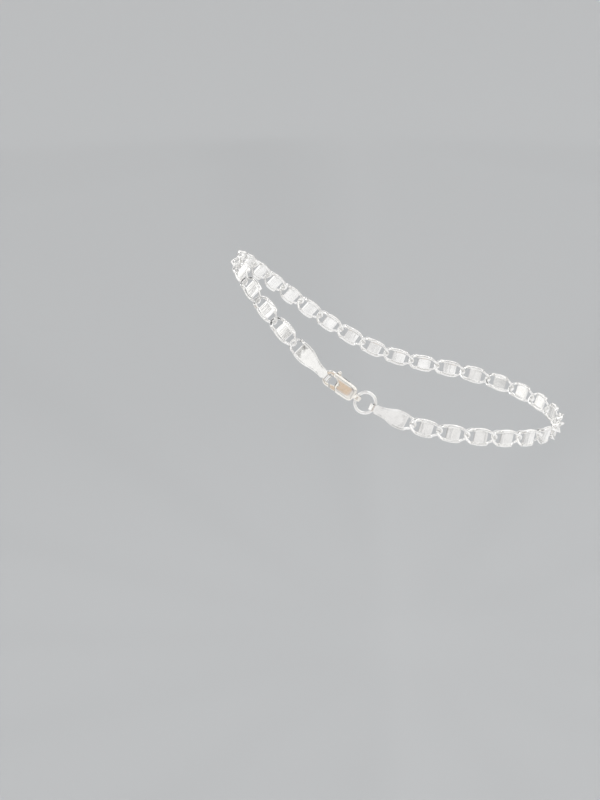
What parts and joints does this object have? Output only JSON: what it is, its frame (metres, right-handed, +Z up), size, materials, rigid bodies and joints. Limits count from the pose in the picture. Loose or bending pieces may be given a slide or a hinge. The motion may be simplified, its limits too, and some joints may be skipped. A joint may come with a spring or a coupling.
{
  "type": "anklet",
  "caption": "Flat anchor-link silver anklet worn as a loop round the ankle, closed by folded end tabs, a jump ring and a lobster clasp whose sprung lever opens.",
  "frame": {"origin": "middle of the ankle that the loop goes round, half way between heel and instep", "axes": "+X towards the heel, -Y the side of the foot that the clasp lies on, +Z up as worn"},
  "size_m": [0.0866, 0.0614, 0.0481],
  "materials": {
    "chain_silver": "polished silver",
    "clasp_silver": "polished silver, slightly warm"
  },
  "bodies": {
    "chain": {"tab_hook": "chain_silver", "tab_ring": "chain_silver", "jump_ring": "chain_silver", "link_01": "chain_silver", "link_02": "chain_silver", "link_03": "chain_silver", "link_04": "chain_silver", "link_05": "chain_silver", "link_06": "chain_silver", "link_07": "chain_silver", "link_08": "chain_silver", "link_09": "chain_silver", "link_10": "chain_silver", "link_11": "chain_silver", "link_12": "chain_silver", "link_13": "chain_silver", "link_14": "chain_silver", "link_15": "chain_silver", "link_16": "chain_silver", "link_17": "chain_silver", "link_18": "chain_silver", "link_19": "chain_silver", "link_20": "chain_silver", "link_21": "chain_silver", "link_22": "chain_silver", "link_23": "chain_silver", "link_24": "chain_silver", "link_25": "chain_silver", "link_26": "chain_silver", "link_27": "chain_silver", "link_28": "chain_silver", "link_29": "chain_silver", "link_30": "chain_silver", "clasp_body": "clasp_silver", "clasp_pin": "clasp_silver"},
    "lever": {"clasp_lever": "clasp_silver"}
  },
  "joints": [
    {"name": "lever_hinge", "type": "hinge", "parent": "chain", "child": "lever", "pos_m": [-0.01889, -0.02884, 0.00415], "axis": [0.0587, 0.984, -0.1679], "range_deg": [0, 25], "stiffness_Nm_per_rad": 0.005}
  ]
}
